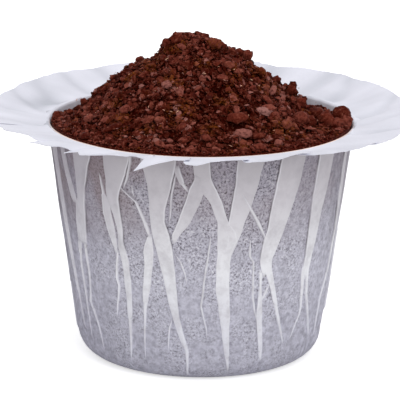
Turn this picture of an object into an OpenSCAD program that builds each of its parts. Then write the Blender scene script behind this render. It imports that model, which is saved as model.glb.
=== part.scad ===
// Pressed paper filter cup for a refillable single-serve pod, heaped with ground coffee.
// Millimetres. The cup stands on z = 0 about the Z axis, and its front faces -Y.
// Angles round the cup are in degrees from the front, and grow towards the right (+X).

/* [Cup] */
// Outside diameter of the mouth, where the wall folds out into the brim
mouth_d = 45; // [40:0.5:52]
// Outside diameter of the base, where the wall's line meets the table
base_d = 35.2; // [31:0.2:38]
// Height of the mouth above the table
cup_h = 35; // [28:0.5:44]
// Outside radius of the corner pressed between base and wall
corner_r = 3.5; // [2:0.25:5]
// Thickness of one layer of paper
paper_t = 0.2; // [0.14:0.01:0.3]
// Radius of the fold at the mouth
fold_r = 0.5; // [0.35:0.05:1]

/* [Brim] */
// How far the brim reaches out beyond the mouth
brim_w = 8.5; // [7:0.5:11]
// Width of the flat collar that the brim's panels grow out of
collar_w = 1.2; // [0.8:0.1:2]
// How far the brim's edge curls up at the front
brim_rise_front = 0.9; // [0:0.1:2.5]
// How far the brim's edge curls up at the back
brim_rise_back = 1.9; // [0:0.1:3]

/* [Pleats] */
// How far a flattened pleat stands out of the wall
pleat_rise = 0.25; // [0.1:0.01:0.5]
// Number of pleats round the back, from one side to the other
back_pleats = 13; // [7:1:16]

/* [Coffee] */
// Height of the heap's peak above the mouth
heap_h = 12.9; // [6:0.2:18]
// Height of the heap above the mouth where it meets the paper at the front
heap_edge_h = 0.4; // [0:0.1:1]
// How far below the mouth the heap meets the paper at the back
heap_sink_h = 1.4; // [0:0.1:2.5]
// How far lumps stand out of the heap or sink into it
lump_h = 0.55; // [0.1:0.05:0.8]
// Typical width of one lump
lump_w = 1.5; // [1:0.1:3]
// Gap left between the grounds and the paper's wall
grounds_gap = 0.1; // [0.08:0.01:0.3]

/* [Hidden] */

mouth_r = mouth_d / 2;
base_r = base_d / 2;
brim_r = mouth_r + brim_w;
taper = atan2(mouth_r - base_r, cup_h);
// Centre of the base corner's arc: it touches the table and the wall's line.
corner_c = base_r + corner_r * tan(taper) - corner_r / cos(taper);
// Height at which the corner's arc runs into the straight wall
corner_top = corner_r * (1 - sin(taper));
// Thickness of the wall's paper, measured level
wall_t = paper_t / cos(taper);

// The grounds' surface has this many points round a ring and this many rings over the heap
ring_points = 80;
heap_rings = 26;
// How deep a pleat's root lies in the wall that it is pressed against
root_t = paper_t / 4;
// A crease narrower than this stands out less than a full pleat
full_pleat_angle = 2.5;

// Pleats seen from the front. A pleat runs down the wall through stations of
// [height in percent of the cup, angle of its left edge, angle of its right edge].
front_pleats = [
  // left of the middle
  [[99, -78, -71], [77, -76, -71.5], [57, -73.5, -69.5], [34, -69, -66.5], [14, -66, -65]],
  [[99, -66.5, -63.5], [86, -64.5, -61], [80, -63, -59.3], [72, -60.5, -56.5]],
  [[99, -56, -46], [86, -56, -48.5], [74, -57.5, -51.5], [63, -60, -52.5], [54, -59.7, -53.4]],
  [[54, -60.2, -57.5], [43, -61.5, -59.5], [28, -60.5, -59.2], [11, -59.5, -59]],
  [[54, -55.6, -53.3], [43, -55.6, -53.8], [31, -57, -54.8], [25, -55.5, -53.5], [10, -50.6, -50]],
  [[89, -41.6, -41], [80, -41, -39.2], [71, -41, -37], [60, -38.4, -35.6], [54, -37, -35.4]],
  [[57, -36.4, -35.2], [49, -38.3, -37.2], [43, -39, -38], [35, -38.6, -37.9], [26, -40, -39.6]],
  [[99, -38.9, -31], [85, -39, -32.7], [74, -39.5, -33]],
  [[77, -36, -32.4], [66, -35, -31.8], [54, -34.4, -31], [43, -33.6, -30.4], [27, -33, -31],
   [14, -33, -32], [7, -33.2, -32.7]],
  [[99, -27.6, -26.8], [85, -31.6, -30.8]],
  [[85, -33.4, -31.8], [80, -27.4, -25.6], [74, -24.2, -22.6], [66, -22, -19.6]],
  [[66, -21.8, -19.2], [57, -23.3, -19.4], [43, -24.4, -21], [31, -25, -23.4], [19, -25.5, -24.6],
   [9, -25.7, -25.1]],
  [[99, -22.4, -13], [86, -20.2, -12], [77, -20, -13.4], [63, -19, -11.2], [43, -15, -10],
   [29, -12.4, -9], [14, -6.6, -5], [7, -5.9, -5], [3, -5.9, -5.3]],
  // middle
  [[98, -12, -8], [90, -11.8, -10.6], [80, -12.6, -11.7], [72, -13, -12.4]],
  [[95, -9.6, -7.6], [87, -6, -4.4]],
  [[99, -3, 3.4], [90, -2.6, 3.8], [85, -4.4, 1], [77, -7.4, -2], [69, -10.4, -6], [62, -11.8, -10.4]],
  [[88, 0.2, 4.2], [80, 2.8, 8], [72, 6, 10.6], [66, 6.7, 12]],
  [[66, 3.8, 4.3], [54, 2.2, 2.8], [40, 0.9, 1.4], [33, 0.3, 0.9], [24, 2.7, 3.1]],
  [[56, -9, -8.5], [44, -5.6, -5.2]],
  // right of the middle
  [[99, 13.6, 23.6], [86, 12.6, 21.2], [77, 11.6, 19], [66, 9, 16], [56, 6.7, 12.1], [43, 6.6, 12.3],
   [29, 8.8, 13], [14, 11.3, 13.2], [6, 13, 13.8]],
  [[77, 18.4, 20], [70, 22.6, 24.2], [63, 25.6, 27]],
  [[99, 30.2, 41.2], [86, 28.8, 39.4], [71, 27, 36], [63, 25.8, 33.4], [51, 25, 29.6], [45, 25.2, 28]],
  [[49, 25, 27], [36, 25.4, 27.6], [29, 25, 28], [20, 26.6, 29], [9, 29, 29.9]],
  [[50, 27, 30.6], [43, 29.6, 32.6], [34, 33, 35], [20, 38, 39.4], [14, 41, 41.6]],
  [[42, 29.6, 30.6], [35, 27, 28]],
  [[62, 20.1, 20.6], [54, 20.8, 21.4], [46, 21.7, 22.5], [33, 23.8, 24.8], [27, 25.3, 26.1]],
  [[99, 48.8, 59.2], [86, 48.2, 57.8], [71, 47.8, 55.5], [57, 48, 53.8], [44, 46.9, 52]],
  [[44, 46.8, 49.6], [34, 48.3, 50.2], [23, 50.8, 51.4]],
  [[43, 49.8, 52.2], [29, 53.5, 55.3], [20, 57, 58.3], [13, 60, 60.7]],
  [[99, 69.5, 77], [71, 70.5, 76.5], [54, 72, 76.5], [40, 70.5, 73], [30, 67, 68.6], [12, 67, 67.5]]
];

// A pleat round the back, made by rule: it leans to one side and forks or not in turn.
back_start = 82;
back_span = 360 - 2 * back_start;
back_lean = [3.5, -4.5, 1.5, -2, 4.5, -3];
back_width = [8, 5.5, 9.5, 6.5];
function back_stations(k) =
  let (
    middle = back_start + back_span * (k + 0.5) / back_pleats,
    lean = back_lean[k % len(back_lean)],
    w = back_width[k % len(back_width)]
  )
  [for (s = [[99, 0, 1], [78, 0.25, 0.85], [55, 0.7, 0.6], [30, 0.9, 0.28], [9, 1, 0.08]])
    [s[0], middle + lean * s[1] - w * s[2] / 2, middle + lean * s[1] + w * s[2] / 2]];
function fork_stations(k) =
  let (
    trunk = back_stations(k)[2],
    side = back_lean[k % len(back_lean)] > 0 ? -1 : 1,
    from = side > 0 ? trunk[2] - 1.5 : trunk[1]
  )
  [[55, from, from + 1.5], [40, from + side * 2.2, from + side * 2.2 + 1.2],
   [18, from + side * 4, from + side * 4 + 0.6]];

// Panels of the brim, each lapped under the one to its left: [angle of its left side, how much
// further out than the brim's cut edge its left corner lies, the same for its right corner, and
// how far its left corner turns down], the last three in percent of the brim's width.
front_panels = [
  [-96, 0, -7, 2], [-77, -4, -24, 4], [-56, -16, -28, 7], [-40, -11, -19, 5],
  [-18, -5, -38, 14], [-5, -12, -21, 2], [13, -26, -12, 1], [33, -16, -5, 0],
  [54, 2, 5, 0], [75, 5, 2, 2], [97, 0, 5, 1]
];
back_panel_step = 17;
back_panel_start = 115;
back_panels = [for (k = [0:8])
  [back_panel_start + k * back_panel_step, 11 - 6 * (k % 2), 1 + 4 * (k % 3), 2]];
panels = concat(front_panels, back_panels);
// Angle taken up by the step from one panel down to the next, and columns drawn across a panel
panel_gap = 0.4;
panel_columns = 5;

// The heap's profile on the left and on the right, from the peak out to the paper:
// [share of the mouth's radius, share of the heap's height].
heap_left = [[0, 1], [0.1, 1.01], [0.24, 0.91], [0.31, 0.77], [0.36, 0.7], [0.48, 0.62], [0.6, 0.47],
             [0.73, 0.27], [0.85, 0.12], [1, 0]];
heap_right = [[0, 1], [0.1, 0.92], [0.16, 0.85], [0.31, 0.74], [0.38, 0.62], [0.46, 0.52], [0.53, 0.43],
              [0.6, 0.34], [0.7, 0.21], [0.8, 0.1], [0.93, 0.04], [1, 0]];
// The turn from the heap's front edge down to its lower back edge, as shares of the way to the back
sink_from = 0.45;
sink_to = 0.75;
// Single clods that break the heap's outline: [x, y, radius, height], as shares of the mouth's radius
clods = [[0.92, -0.06, 0.084, 0.06], [0.77, 0.1, 0.07, 0.03], [0.6, 0.05, 0.04, 0.05],
         [0.69, 0.14, 0.036, 0.024], [-0.2, -0.02, 0.044, 0.022], [0.3, 0.05, 0.07, 0.018],
         [0.28, -0.55, 0.058, 0.022], [-0.5, 0.02, 0.04, 0.018]];
noise_cells = 61;
noise = rands(-1, 1, noise_cells * noise_cells, 7);

function mix(a, b, t) = a + (b - a) * t;
function smooth(t) = t * t * (3 - 2 * t);
function wrap(i, n) = ((i % n) + n) % n;
function on_ring(r, a, z) = [r * sin(a), -r * cos(a), z];

// Outside radius of the paper's wall at a height, down through the corner
function wall_r(z) =
  z >= corner_top ? base_r + (mouth_r - base_r) * z / cup_h
                  : corner_c + sqrt(pow(corner_r, 2) - pow(corner_r - z, 2));

// Arcs of the paper's section: the corner pressed between base and wall, and the fold at the mouth
function corner_arc(r, steps) =
  [for (i = [0:steps]) let (a = mix(-90, -taper, i / steps)) [corner_c + r * cos(a), corner_r + r * sin(a)]];
fold_c = wall_r(cup_h - fold_r) - wall_t + fold_r;
function fold_arc(r, steps) =
  [for (i = [0:steps]) let (a = mix(180, 90, i / steps)) [fold_c + r * cos(a), cup_h - fold_r + r * sin(a)]];
function reversed(list) = [for (i = [len(list) - 1:-1:0]) list[i]];

// The brim's upper side in one column: the collar, then out to the panel's own cut edge.
// u runs across the panel from 0 at its left side to 1 at its right side.
function curl(a) = mix(brim_rise_front, brim_rise_back, (1 - cos(a)) / 2);
function brim_line(panel, a, u) =
  let (
    collar_r = fold_c + collar_w,
    edge_r = brim_r + mix(panel[1], panel[2], pow(u, 1.5)) * brim_w / 100,
    under = paper_t * (1 - u)
  )
  [for (v = [0, 0.35, 0.7, 1])
    [mix(collar_r, edge_r, v),
     cup_h + curl(a) * pow(v, 1.4) - under * min(1, v / 0.35)
     - panel[3] * brim_w / 100 * pow(1 - u, 3) * v * v]];

// One column of the paper: out along the underside from the centre of the base, round the
// brim's cut edge, and back inside to the centre.
function paper_column(panel, a, u) =
  let (
    brim = brim_line(panel, a, u),
    lower = concat(corner_arc(corner_r, 5), fold_arc(max(fold_r - paper_t, 0.05), 2),
                   [for (p = brim) [p[0], p[1] - paper_t]]),
    upper = concat(corner_arc(corner_r - paper_t, 5), fold_arc(fold_r, 3), brim)
  )
  [for (p = concat(lower, reversed(upper))) on_ring(p[0], a, p[1])];

columns = [for (i = [0:len(panels) - 1])
  let (
    a0 = panels[i][0] + panel_gap / 2,
    a1 = (i + 1 < len(panels) ? panels[i + 1][0] : panels[0][0] + 360) - panel_gap / 2
  )
  for (k = [0:panel_columns - 1])
    let (u = k / (panel_columns - 1)) paper_column(panels[i], mix(a0, a1, u), u)];

// The whole sheet without its pleats: the columns joined up, with a fan at each end for the base.
module pressed_sheet() {
  rows = len(columns[0]);
  n = len(columns);
  under = n * rows;
  over = under + 1;
  function id(j, i) = (j % n) * rows + i;
  polyhedron(
    points = concat([for (c = columns) each c], [[0, 0, 0], [0, 0, paper_t]]),
    faces = [for (j = [0:n - 1]) each concat(
      [[under, id(j, 0), id(j + 1, 0)], [over, id(j + 1, rows - 1), id(j, rows - 1)]],
      [for (i = [0:rows - 2]) each [[id(j, i), id(j, i + 1), id(j + 1, i + 1)],
                                    [id(j, i), id(j + 1, i + 1), id(j + 1, i)]]])]
  );
}

// A pleat is a flattened fold: one thin solid that follows the wall from station to station, with
// three points across its outside and three at its root within the wall.
function station_points(s) =
  let (
    z = s[0] * (cup_h - paper_t) / 100,
    rise = pleat_rise * min(1, 0.4 + 0.6 * (s[2] - s[1]) / full_pleat_angle),
    outside = wall_r(z) + rise,
    root = wall_r(z) - root_t,
    middle = (s[1] + s[2]) / 2
  )
  [on_ring(outside, s[1], z), on_ring(outside, middle, z), on_ring(outside, s[2], z),
   on_ring(root, s[2], z), on_ring(root, middle, z), on_ring(root, s[1], z)];

module pleat(stations) {
  n = len(stations);
  polyhedron(
    points = [for (s = stations) each station_points(s)],
    faces = concat(
      [[0, 4, 1], [0, 5, 4], [1, 3, 2], [1, 4, 3]],
      [for (f = [[0, 1, 4], [0, 4, 5], [1, 2, 3], [1, 3, 4]]) [for (k = f) k + 6 * (n - 1)]],
      [for (i = [0:n - 2], k = [0:5])
        let (a = 6 * i + k, b = 6 * i + (k + 1) % 6) each [[a, b + 6, a + 6], [a, b, b + 6]]]
    )
  );
}

module paper_filter() {
  color("#dcdce4") {
    pressed_sheet();
    for (p = front_pleats) pleat(p);
    for (k = [0:back_pleats - 1]) {
      pleat(back_stations(k));
      if (k % 2 == 0) pleat(fork_stations(k));
    }
  }
}

// The grounds fill the cup and rise in a heap with an uneven, lumpy surface.
function cell_noise(i, j) = noise[wrap(i, noise_cells) + noise_cells * wrap(j, noise_cells)];
function lumps(x, y, w) =
  let (
    i = floor(x / w), j = floor(y / w),
    s = smooth(x / w - i), t = smooth(y / w - j),
    near = mix(cell_noise(i, j), cell_noise(i + 1, j), s),
    far = mix(cell_noise(i, j + 1), cell_noise(i + 1, j + 1), s)
  )
  mix(near, far, t);
function clod(x, y, c) =
  let (d = norm([x / mouth_r - c[0], y / mouth_r - c[1]]) / c[2]) d < 1 ? c[3] * mouth_r * sqrt(1 - d * d) : 0;

// The heap's edge against the paper, and the top of the grounds' side just under it
function edge_h(a) =
  let (back = ((1 - cos(a)) / 2 - sink_from) / (sink_to - sink_from))
  mix(heap_edge_h, -heap_sink_h, smooth(min(1, max(0, back))));
function side_top(a) = cup_h + min(-fold_r, edge_h(a) - paper_t);
function fill_r(a) = wall_r(side_top(a)) - wall_t - grounds_gap;

function heap_z(share, a) =
  let (
    x = share * fill_r(a) * sin(a), y = -share * fill_r(a) * cos(a),
    side = smooth((1 + sin(a)) / 2),
    form = mix(lookup(share, heap_left), lookup(share, heap_right), side),
    loose = min(1, (1 - share) * 6),
    rough = lump_h * (lumps(x, y, lump_w) + 0.6 * lumps(x + 27 * lump_w, y + 27 * lump_w, 2.1 * lump_w))
  )
  cup_h + edge_h(a) + (heap_h - edge_h(a)) * form + rough * loose
  + max([for (c = clods) clod(x, y, c)]) * min(1, loose * 2);

module coffee_grounds() {
  // Rings up the inside of the paper: the edge of the floor, the corner, then the wall
  corner = corner_arc(corner_r - paper_t - grounds_gap, 4);
  function side(a) = concat(
    [[corner_c - grounds_gap, paper_t]],
    [for (i = [1:4]) corner[i]],
    [for (t = [0.5, 1]) mix(corner[4], [fill_r(a), side_top(a)], t)]
  );
  ring_a = [for (j = [0:ring_points - 1]) j * 360 / ring_points];
  // Rings over the heap, from the mouth in to just short of the peak
  shares = [for (i = [0:heap_rings - 1]) 1 - i / heap_rings];
  points = concat(
    [[0, 0, paper_t]],
    [for (i = [0:len(side(0)) - 1]) for (a = ring_a) let (p = side(a)[i]) on_ring(p[0], a, p[1])],
    [for (s = shares) for (a = ring_a) on_ring(s * fill_r(a), a, heap_z(s, a))],
    [[0, 0, heap_z(0, 0)]]
  );
  rings = len(side(0)) + len(shares);
  last = len(points) - 1;
  function id(i, j) = 1 + i * ring_points + j % ring_points;
  color("#4a2115")
    polyhedron(
      points = points,
      faces = concat(
        [for (j = [0:ring_points - 1]) [0, id(0, j), id(0, j + 1)]],
        [for (i = [0:rings - 2], j = [0:ring_points - 1])
          each [[id(i, j), id(i + 1, j), id(i + 1, j + 1)], [id(i, j), id(i + 1, j + 1), id(i, j + 1)]]],
        [for (j = [0:ring_points - 1]) [last, id(rings - 1, j + 1), id(rings - 1, j)]]
      )
    );
}

paper_filter();
coffee_grounds();
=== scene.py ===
"""Looks of a pressed paper filter cup heaped with ground coffee.

Lengths are written in millimetres and turned into metres by MM. The cup stands on z = 0 about the
Z axis and its front faces -Y. Angles round it are in degrees from the front, growing to the right.
"""
import math
import random

import bmesh
import bpy
import numpy as np
from mathutils import Matrix, Vector, noise
from mathutils.bvhtree import BVHTree


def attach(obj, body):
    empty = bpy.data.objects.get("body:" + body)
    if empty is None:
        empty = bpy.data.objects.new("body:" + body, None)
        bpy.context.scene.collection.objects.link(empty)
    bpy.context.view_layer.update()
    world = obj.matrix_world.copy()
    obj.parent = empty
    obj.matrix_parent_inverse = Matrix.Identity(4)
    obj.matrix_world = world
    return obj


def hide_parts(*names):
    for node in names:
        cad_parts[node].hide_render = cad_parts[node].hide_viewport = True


MM = 0.001

# The cup, as the solids have it
MOUTH_R = 22.5
BASE_R = 17.6
CUP_H = 35.0
CORNER_R = 3.5
FOLD_R = 0.5
BRIM_W = 8.5
PAPER_T = 0.2
RISE_FRONT = 0.9
RISE_BACK = 1.9
HEAP_EDGE = 0.4
HEAP_SINK = 1.4
SINK_FROM, SINK_TO = 0.45, 0.75
GROUNDS_GAP = 0.1

# One real layer of paper, and how far a flattened pleat stands out of the wall
LAYER = 0.11
PLEAT_RISE = 0.24

# The photograph's camera
CAMERA_DISTANCE = 500.0
CAMERA_ELEVATION = 13.6
CAMERA_AIM = (-0.08, 0.0, 22.68)
CAMERA_ROLL = 0.6
FOCAL_PIXELS = 3395.0
FRAME_PIXELS = 400.0
SENSOR_MM = 36.0

# Worked out: the wall's slope, the centre and top of the corner's arc, the foot of the fold, the
# wall's thickness measured level, and the brim's radius
TAPER = math.atan2(MOUTH_R - BASE_R, CUP_H)
CORNER_C = BASE_R + CORNER_R * math.tan(TAPER) - CORNER_R / math.cos(TAPER)
CORNER_TOP = CORNER_R * (1 - math.sin(TAPER))
FOLD_Z = CUP_H - FOLD_R
LEVEL_T = PAPER_T / math.cos(TAPER)
BRIM_R = MOUTH_R + BRIM_W

# How finely the pieces are divided
WALL_ROWS = 64
WALL_STEPS = 360
PLEAT_STEP = 0.4
PLEAT_POINTS = 10
BRIM_ROWS = 16
BRIM_DEGREES = 0.5
CORE_STEPS, CORE_RINGS = 240, 90

# A strip narrower than this many degrees is a loose crease and not a flattened pleat.
CREASE_DEGREES = 2.4
CREASE_WIDTH = 0.74

# The studio: brightness of the floor and backdrop as the camera and reflections see them, the
# world's light on the object, and the point that the lamps face, in metres
FLOOR_HALF = 3.0
FLOOR_GLOW = 0.6
WORLD_LIGHT = 0.61
LIGHT_AIM = (0, 0, 0.03)

# Pleats that the photograph shows: the side whose folded edge lies loose on the wall, then stations
# down the wall as (height, angle of the left edge, angle of the right edge)
PLEATS = [
    # left of the middle
    ("left", [(34.8, -78, -71), (27, -76, -71.5), (20, -73.5, -69.5), (12, -69, -66.5), (5, -66, -65)]),
    ("left", [(34.8, -66.5, -63.5), (30, -64.5, -61), (28, -63, -59.3), (25, -60.5, -56.5)]),
    ("right", [(34.8, -56, -44), (33, -56, -45), (31.5, -56, -47), (30, -56, -48.2), (28, -56.3, -50),
        (26, -56.5, -51), (25, -58.4, -51.4), (22, -60, -52), (19, -59.7, -53.4)]),
    ("left", [(19.5, -60.3, -57.2), (18, -60.5, -58.2), (15, -61.5, -59.5), (12, -61, -59),
        (4, -59.5, -59)]),
    ("right", [(19.5, -56, -53.4), (18, -56, -54), (15, -55.5, -53.8), (12, -56, -54.5), (10, -57.5, -55),
        (9, -55.8, -53.6), (6, -52, -51), (3, -50.2, -49.8)]),
    ("left", [(31, -41.6, -41), (28, -41, -39.2), (26.5, -41, -37.4), (25, -41, -36.9), (23, -40, -36),
        (21, -38.2, -35.5), (19, -37, -35.4)]),
    ("left", [(19.6, -35.9, -34.8), (17, -37.2, -36.1), (15.2, -37.8, -36.7), (14, -36.9, -35.7),
        (12, -37.6, -36.8), (9, -39, -38.6)]),
    ("right", [(34.8, -38.9, -26.4), (33.6, -38.8, -26.9), (32.5, -38.7, -28), (31.4, -38.6, -28.9),
        (30.1, -38.5, -30.4), (28.6, -38.7, -32), (27.5, -38.6, -32.6), (26.2, -37.4, -32.3),
        (25, -35.9, -32), (23, -34.9, -31.8), (21, -34.7, -31.9), (20, -35.2, -31.4), (18, -33.9, -30.2),
        (15, -33.5, -29.8), (12, -33, -30), (10, -33, -30.4), (7, -33, -31.2), (5, -33, -31.5),
        (2.6, -33.1, -32.8)]),
    ("right", [(34.8, -26.8, -25.8), (33.5, -27.2, -26.2), (32, -28.3, -27.3), (30.8, -29, -28.2),
        (29.2, -30.6, -30)]),
    ("left", [(29.8, -33.6, -32.4), (28, -27.6, -26.4), (27.6, -26, -24.8), (26, -24.2, -22.9),
        (24, -22.3, -20.8), (22.4, -21, -19.6)]),
    ("left", [(30, -27, -26.4), (29, -26.6, -26), (28.2, -26.2, -25.6)]),
    ("left", [(22.8, -21, -19.4), (21, -22.8, -19), (20, -23.3, -19), (18, -23.2, -19.4),
        (15, -24.3, -20.8), (13, -24.8, -22), (11, -25, -23.2), (9, -25.2, -23.7), (7, -25.5, -24.4),
        (5, -25.6, -24.8), (3.2, -25.5, -25.1)]),
    ("right", [(34.8, -22.9, -8.5), (30, -20.2, -11), (27, -20, -13.3), (25, -19.8, -13.7),
        (23, -19.3, -12), (20, -17.5, -10.7), (15, -14.6, -9.6), (12, -13, -9), (10, -11.7, -8.4),
        (7, -8.9, -6.2), (5, -6.6, -4.5), (3, -6, -4.5), (0.9, -6, -4.9)]),
    ("left", [(9.9, -12.2, -11.6), (8.4, -13.3, -12.7), (6.5, -13.9, -13.4), (4.5, -14.3, -14)]),
    # middle
    ("left", [(32.4, -9.4, -8.9), (31, -10.1, -9.5), (29, -11.3, -10.6), (26, -11.8, -11.3),
        (24.5, -12.4, -12.1)]),
    ("right", [(33.6, -10.6, -7.8), (31, -8.1, -6), (29.6, -5.2, -4)]),
    ("left", [(32.6, -2.4, 1.5), (31.5, -2.6, 2.4), (30, -4.4, 2), (28, -5.9, -0.2), (26, -7.9, -2.5),
        (25, -8.8, -3.8), (24, -9.8, -5.4), (23, -11, -7.9), (21.6, -11.4, -10)]),
    ("right", [(34.8, -3.4, 3.3), (31.8, -2.3, 3.9), (30.8, -1.3, 4.9), (29.9, 0, 6.1), (29, 1.7, 7.2),
        (28, 3.5, 8.3), (26, 5.6, 10), (25, 6.6, 11), (23.5, 6.7, 14), (22, 6.8, 14.8), (20, 6.8, 12.6),
        (18, 6.7, 12.3), (15, 6.6, 12.5), (11.5, 8, 13.1), (10, 8.8, 13.3), (8, 9.7, 13.4), (5, 11.2, 13.7),
        (3, 12.2, 14.2), (1.6, 13.2, 14.3)]),
    ("left", [(23, 3.9, 4.5), (20.5, 3.2, 3.8), (17, 1.9, 2.5), (14, 1.1, 1.7), (12, 0.4, 1),
        (10.5, 1.3, 1.9), (8.5, 2.8, 3.3), (6.8, 3.2, 3.5)]),
    ("left", [(20, -10.3, -9.8), (19, -8.3, -7.7), (17, -6.2, -5.8), (15.4, -5.4, -5.1)]),
    # right of the middle
    ("left", [(34.8, 13.4, 24.3), (30, 12.5, 21.7), (27, 11.6, 19.7), (25, 10.8, 17.7), (23, 10.6, 16.3),
        (21.5, 10.5, 14.8), (20, 10.6, 13), (18.6, 10.9, 11.8)]),
    ("left", [(29.8, 14.4, 14.9), (28.4, 16.6, 17.3), (26.5, 19.4, 20.7), (24.5, 22.5, 24), (23, 25, 26),
        (22, 26.3, 27.2)]),
    ("left", [(34.8, 30.8, 42.2), (30, 29.4, 40.4), (27, 28.1, 38.5), (25, 27.6, 36.9), (23, 27, 35.3),
        (22, 26.1, 34.5), (20, 25.3, 32.3), (18.4, 25, 30.7), (17.2, 25.7, 29.8), (16, 27, 28.2)]),
    ("left", [(17.2, 25.1, 27), (15, 25.6, 27), (12, 25.4, 28.1), (10, 25.2, 28.4), (7, 26.6, 29.4),
        (4, 28, 30.2), (2.8, 29, 30.2)]),
    ("left", [(19.5, 26.3, 30.8), (17.4, 27.4, 31.2), (15, 30, 33), (12, 33.1, 35.6), (10, 35, 37.1),
        (7, 38.6, 40.2), (4.8, 41.4, 42)]),
    ("left", [(14.8, 29.9, 31), (12.2, 26.8, 27.9)]),
    ("left", [(22, 20, 20.6), (19.5, 20.2, 20.9), (18.5, 21.9, 22.6), (16, 22.3, 23), (13, 22.7, 23.4),
        (11, 24, 24.8), (9.5, 25.2, 25.8)]),
    ("left", [(34.8, 49.3, 60), (30, 48.8, 58.8), (27, 48.4, 57.6), (25, 48.4, 56.5), (22, 48.4, 55.3),
        (20, 48.6, 54.7), (18, 48.4, 53.6), (15.8, 47.8, 52.8), (15, 49.4, 51.9), (14.2, 50.4, 50.9)]),
    ("left", [(16.8, 48, 51), (15.6, 47.4, 50.4), (12, 48.9, 51.2), (10, 50.1, 51.6), (8.7, 49.7, 50.9),
        (7.6, 48.3, 49.2), (6.6, 47, 47.7), (5.4, 46, 46.4)]),
    ("left", [(16.8, 50.8, 53.1), (15.4, 50.9, 52.7), (12, 52.3, 54.1), (10, 54.4, 56), (7, 57.6, 58.7),
        (4.6, 60.2, 60.7)]),
    ("left", [(34.8, 69.5, 75), (25, 70.5, 76), (20, 72, 77), (14, 70.5, 72.8), (10, 67, 68.2),
        (4, 66.6, 67)]),
]

# Dark upright streaks beside the pleats: (angle at the top, angle at the foot, half width, lowest
# height)
STREAKS = [
    (67.5, 68.5, 1.8, 14), (-68.5, -67, 1.8, 12), (-62.5, -61, 1.6, 18), (-82, -80, 2.4, 2),
    (63, 64, 1.2, 22), (80, 80, 1.6, 10), (-76, -75, 1.5, 6),
]

# Pleats round the back follow a rule, as they do in the solids: the angle where they start, how
# many there are, and how far each leans and how wide it is, in degrees.
BACK_START = 82.0
BACK_COUNT = 13
BACK_LEAN = [3.5, -4.5, 1.5, -2, 4.5, -3]
BACK_WIDTH = [8, 5.5, 9.5, 6.5]
# Down one of them: (height in per cent, share of its lean, share of its width)
BACK_RULE = [(99, 0, 1), (78, 0.25, 0.85), (55, 0.7, 0.6), (30, 0.9, 0.28), (9, 1, 0.08)]


def lerp(a, b, t):
    return a + (b - a) * t


def smooth(t):
    t = min(1.0, max(0.0, t))
    return t * t * (3 - 2 * t)


def on_ring(r, a, z):
    a = math.radians(a)
    return (r * math.sin(a), -r * math.cos(a), z)


def wall_r(z):
    """Outside radius of the paper's wall at a height, down through the corner."""
    if z >= CORNER_TOP:
        return BASE_R + (MOUTH_R - BASE_R) * z / CUP_H
    return CORNER_C + math.sqrt(max(0.0, CORNER_R**2 - (CORNER_R - max(z, 0.0)) ** 2))


def ripple(a, z):
    """How far the wall's paper swells out of the pressed form, between base and mouth."""
    x, y, _ = on_ring(20.0, a, 0)
    wide = noise.noise(Vector((x / 7, y / 7, z / 9)))
    tall = noise.noise(Vector((x / 2.2 + 30, y / 2.2, z / 8)))
    fine = noise.noise(Vector((x / 0.9, y / 0.9 + 50, z / 1.3)))
    hold = smooth((z - 0.6) / 4) * smooth((CUP_H - 0.3 - z) / 2)
    return (0.09 * wide + 0.05 * tall + 0.018 * fine) * hold


def new_object(name, verts, faces, material, attributes, sharp=None, wound=False, smooth_shaded=True):
    """A mesh object from points in millimetres, with one float value per point for each attribute.
    wound: its faces already turn outwards."""
    mesh = bpy.data.meshes.new(name)
    mesh.from_pydata((np.array(verts) * MM).tolist(), [], faces)
    for key, values in attributes.items():
        mesh.attributes.new(key, "FLOAT", "POINT").data.foreach_set("value", values)
    if not wound:
        bm = bmesh.new()
        bm.from_mesh(mesh)
        bmesh.ops.recalc_face_normals(bm, faces=bm.faces)
        bm.to_mesh(mesh)
        bm.free()
    mesh.update()
    if smooth_shaded:
        mesh.shade_smooth()
    if sharp is not None:
        mesh.set_sharp_from_angle(angle=math.radians(sharp))
    mesh.materials.append(material)
    return link(name, mesh)


def link(name, data):
    obj = bpy.data.objects.new(name, data)
    bpy.context.collection.objects.link(obj)
    return obj


# Shader helpers


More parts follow.
